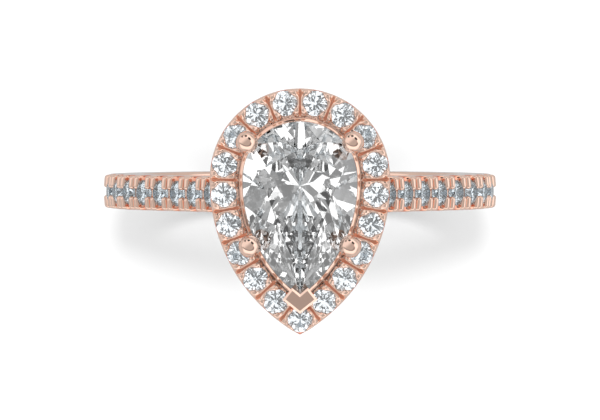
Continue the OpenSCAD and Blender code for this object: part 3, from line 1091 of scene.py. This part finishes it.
def makeStudio():
    # the surroundings are laid out as they appear on a small polished ball seen from above
    world = bpy.data.worlds.new("studio")
    bpy.context.scene.world = world
    world.use_nodes = True
    nodes, tree = world.node_tree.nodes, world.node_tree
    back = nodes["Background"]

    def maths(kind, a, b=0.0, c=0.0, clamp=False):
        node = nodes.new("ShaderNodeMath")
        node.operation = kind
        node.use_clamp = clamp
        for socket, value in zip(node.inputs, (a, b, c)):
            if isinstance(value, bpy.types.NodeSocket):
                tree.links.new(value, socket)
            else:
                socket.default_value = value
        return node.outputs[0]

    def fade(value, low, high):
        node = nodes.new("ShaderNodeMapRange")
        node.interpolation_type = "SMOOTHSTEP"
        tree.links.new(value, node.inputs["Value"])
        node.inputs["From Min"].default_value = low
        node.inputs["From Max"].default_value = high
        return node.outputs["Result"]

    def towards(tone, target, mask):
        return maths("MULTIPLY_ADD", mask, maths("SUBTRACT", target, tone), tone)

    place = nodes.new("ShaderNodeTexCoord")
    lean = nodes.new("ShaderNodeVectorMath")
    lean.inputs[1].default_value = (0, 0, 1)
    short = nodes.new("ShaderNodeVectorMath")
    short.operation = "NORMALIZE"
    parts = nodes.new("ShaderNodeSeparateXYZ")
    linkChain(
        tree,
        (place.outputs["Generated"], lean.inputs[0]),
        (lean.outputs[0], short.inputs[0]),
        (short.outputs[0], parts.inputs[0]),
    )
    u, v, w = parts.outputs

    def distance(cx, cy, sx, sy, turn=0.0):
        fromX, fromY = maths("SUBTRACT", u, cx), maths("SUBTRACT", v, cy)
        co, si = math.cos(turn), math.sin(turn)
        du = maths("DIVIDE", maths("MULTIPLY_ADD", fromX, co, maths("MULTIPLY", fromY, si)), sx)
        dv = maths("DIVIDE", maths("MULTIPLY_ADD", fromY, co, maths("MULTIPLY", fromX, -si)), sy)
        return maths("SQRT", maths("MULTIPLY_ADD", du, du, maths("MULTIPLY", dv, dv)))

    turned = maths("MULTIPLY_ADD", maths("ARCTAN2", v, u), studio["flags"], 0.7)
    wave = maths("MULTIPLY_ADD", maths("SINE", turned), 0.5, 0.5)
    low = towards(studio["flagTone"], studio["horizon"], wave)
    tone = towards(studio["fill"], low, fade(w, 0.84, 0.7))
    card = distance(*studio["cardCentre"], *studio["cardSize"], studio["cardTurn"])
    across = maths("MULTIPLY_ADD", v, 1.1, maths("MULTIPLY", u, -0.9))
    cardTone = towards(studio["cardTone"], studio["cardFar"], fade(across, 0.06, 0.55))
    tone = towards(tone, cardTone, fade(card, 1.02, 0.94))
    line = maths("MULTIPLY", fade(card, 0.8, 0.92), fade(card, 1.08, 1.0))
    tone = towards(tone, studio["edgeTone"], maths("MULTIPLY", line, fade(v, 0.02, -0.12)))
    for spot, turn in zip(studio["spots"], studio["spotTurns"]):
        tone = towards(tone, studio["spotTone"], fade(distance(*spot, turn), 1.1, 0.8))
    spread = nodes.new("ShaderNodeCombineXYZ")
    cells = nodes.new("ShaderNodeTexVoronoi")
    cells.inputs["Scale"].default_value = studio["sparkScale"]
    ramp = nodes.new("ShaderNodeValToRGB")
    ramp.color_ramp.interpolation = "CONSTANT"
    first, last = ramp.color_ramp.elements
    steps = [first, ramp.color_ramp.elements.new(0.4), ramp.color_ramp.elements.new(0.6), last]
    brightest = 4.0  # a ramp's colours stay under 1, so the sparks are scaled down in it and up after it
    for step, (at, value) in zip(steps, studio["sparkSteps"]):
        step.position = at
        step.color = (value / brightest, value / brightest, value / brightest, 1)
    chance = nodes.new("ShaderNodeSeparateColor")
    linkChain(
        tree,
        (u, spread.inputs[0]),
        (v, spread.inputs[1]),
        (spread.outputs[0], cells.inputs["Vector"]),
        (cells.outputs["Color"], chance.inputs[0]),
        (chance.outputs[0], ramp.inputs["Fac"]),
    )
    spark = maths("MULTIPLY", ramp.outputs["Color"], brightest)
    path = nodes.new("ShaderNodeLightPath")
    share = maths("MULTIPLY", path.outputs["Is Transmission Ray"], studio["sparkShare"])
    tone = towards(tone, spark, share)
    tone = towards(tone, studio["tableFill"], path.outputs["Is Diffuse Ray"])
    tone = towards(tone, 1.0, path.outputs["Is Camera Ray"])
    tree.links.new(tone, back.inputs["Strength"])
    back.inputs["Color"].default_value = (1, 1, 1, 1)


def makeKey():
    light = bpy.data.lights.new("keyLight", "AREA")
    light.shape = "DISK"
    light.size = stageLook["keySize"]
    light.energy = stageLook["keyPower"]
    key = bpy.data.objects.new("keyLight", light)
    key.location = stageLook["keyPlace"]
    key.rotation_euler = (Vector((0, 0, 0)) - key.location).to_track_quat("-Z", "Y").to_euler()
    key.visible_glossy = False
    key.visible_transmission = False
    bpy.context.scene.collection.objects.link(key)
    return key


def makeCamera():
    data = bpy.data.cameras.new("camera")
    data.lens = stageLook["lens"]
    data.sensor_width = 36.0
    data.clip_start, data.clip_end = 0.01, 5.0
    camera = bpy.data.objects.new("camera", data)
    camera.location = (0, stageLook["cameraY"] * mm, stageLook["cameraHeight"] * mm)
    camera.rotation_euler = (math.radians(stageLook["cameraTilt"]), 0, 0)
    bpy.context.scene.collection.objects.link(camera)
    bpy.context.scene.camera = camera
    return camera


marks = polishGroup()
gold = goldFinish("roseGold", marks, 0.05, 0.12, 1.0)
# a darker copy of the rose gold for the tip claw's lid, painted shade
tipShadedGold = goldFinish("tipShadedGold", marks, 0.03, 0.06, 0.8)
diamond = diamondFinish("diamond", diamondLook["centre"])
smallDiamond = diamondFinish("smallDiamond", diamondLook["halo"])
shadedBandDiamond = diamondFinish("shadedBandDiamond", diamondLook["shank"])
print("finishes ready")

shankBody = makeShank()
head = [finishPiece(makeHaloFrame(), gold, "rose_gold", "halo_frame")]
print("shank and halo frame ready")

low = bridgeRadius - rails["baseSunk"]
baseRail = makeRail("baseRail", claws["footOut"], rails["baseHalf"], low, railTop, True)
head.append(finishPiece(baseRail, gold, "rose_gold", "base_rail"))
low, high = railTop + rails["galleryFrom"], railTop + rails["galleryTo"]
galleryRail = makeRail("galleryRail", rails["galleryOut"], rails["galleryHalf"], low, high, False)
head.append(finishPiece(galleryRail, gold, "rose_gold", "gallery_rail"))
for kind in ("upper", "lower"):
    for label, side in (("left", -1), ("right", 1)):
        name = f"claw_{kind}_{label}"
        head.append(finishPiece(makeBallClaw(name + "_wire", kind, side), gold, "rose_gold", name))
tipClaw = finishPiece(makeTipClaw(), gold, "rose_gold", "claw_tip")
tipClaw.data.materials.append(tipShadedGold)
head.append(tipClaw)
print("basket and claws ready")

head.append(finishPiece(makeCentreStone(), diamond, "centre_diamond", "centre_stone"))
tree = stoneRowTree()
haloMaster = makeRoundStone("haloMaster", halo["stoneWidth"])
haloPlaces = []
for k in range(halo["stones"]):
    x, y, a = haloPlace(k)
    haloPlaces.append(((x, y, seatHeight), Matrix.Rotation(a, 3, "Z")))
haloStones = setStones("haloStones", tree, haloMaster, haloPlaces, smallDiamond)
haloNodes = [f"halo_stone_{k + 1:02d}" for k in range(halo["stones"])]
head.append(finishPiece(haloStones, smallDiamond, "small_diamond", *haloNodes))
bandMaster = makeRoundStone("bandMaster", band["stoneWidth"])
bandPlaces, bandNodes = [], []
for label, side in (("left", -1), ("right", 1)):
    for k in range(1, band["stones"] + 1):
        base, radial = shankFrame(bandRun(k))
        p = base - radial * band["stoneSunk"]
        tilt = math.atan2(radial[0], radial[2])
        bandPlaces.append(((side * p[0], 0.0, p[2]), Matrix.Rotation(side * tilt, 3, "Y")))
        bandNodes.append(f"shank_stone_{label}_{k}")
bandStones = setStones("shankStones", tree, bandMaster, bandPlaces, shadedBandDiamond)
finishPiece(bandStones, shadedBandDiamond, "small_diamond", *bandNodes)
fingerMaster = makeFinger()
fingers = setStones("shankFingers", tree, fingerMaster, fingerPlaces(), gold)
finishPiece(joined("shankHoop", [shankBody, fingers]), gold, "rose_gold", "shank")
for master in (haloMaster, bandMaster, fingerMaster):
    bpy.data.objects.remove(master)
print("stones set")

for piece in head:
    piece.visible_shadow = False  # only the hoop and its stones throw a shadow on the table
makeFloor()
makeStudio()
makeKey()
makeCamera()
scene = bpy.context.scene
scene.cycles.max_bounces = 24
scene.cycles.transmission_bounces = 20
scene.cycles.glossy_bounces = 10
scene.cycles.diffuse_bounces = 4
scene.cycles.caustics_reflective = False
scene.cycles.caustics_refractive = False
scene.cycles.use_denoising = True
scene.view_settings.view_transform = "Standard"
print("floor, light and camera ready")
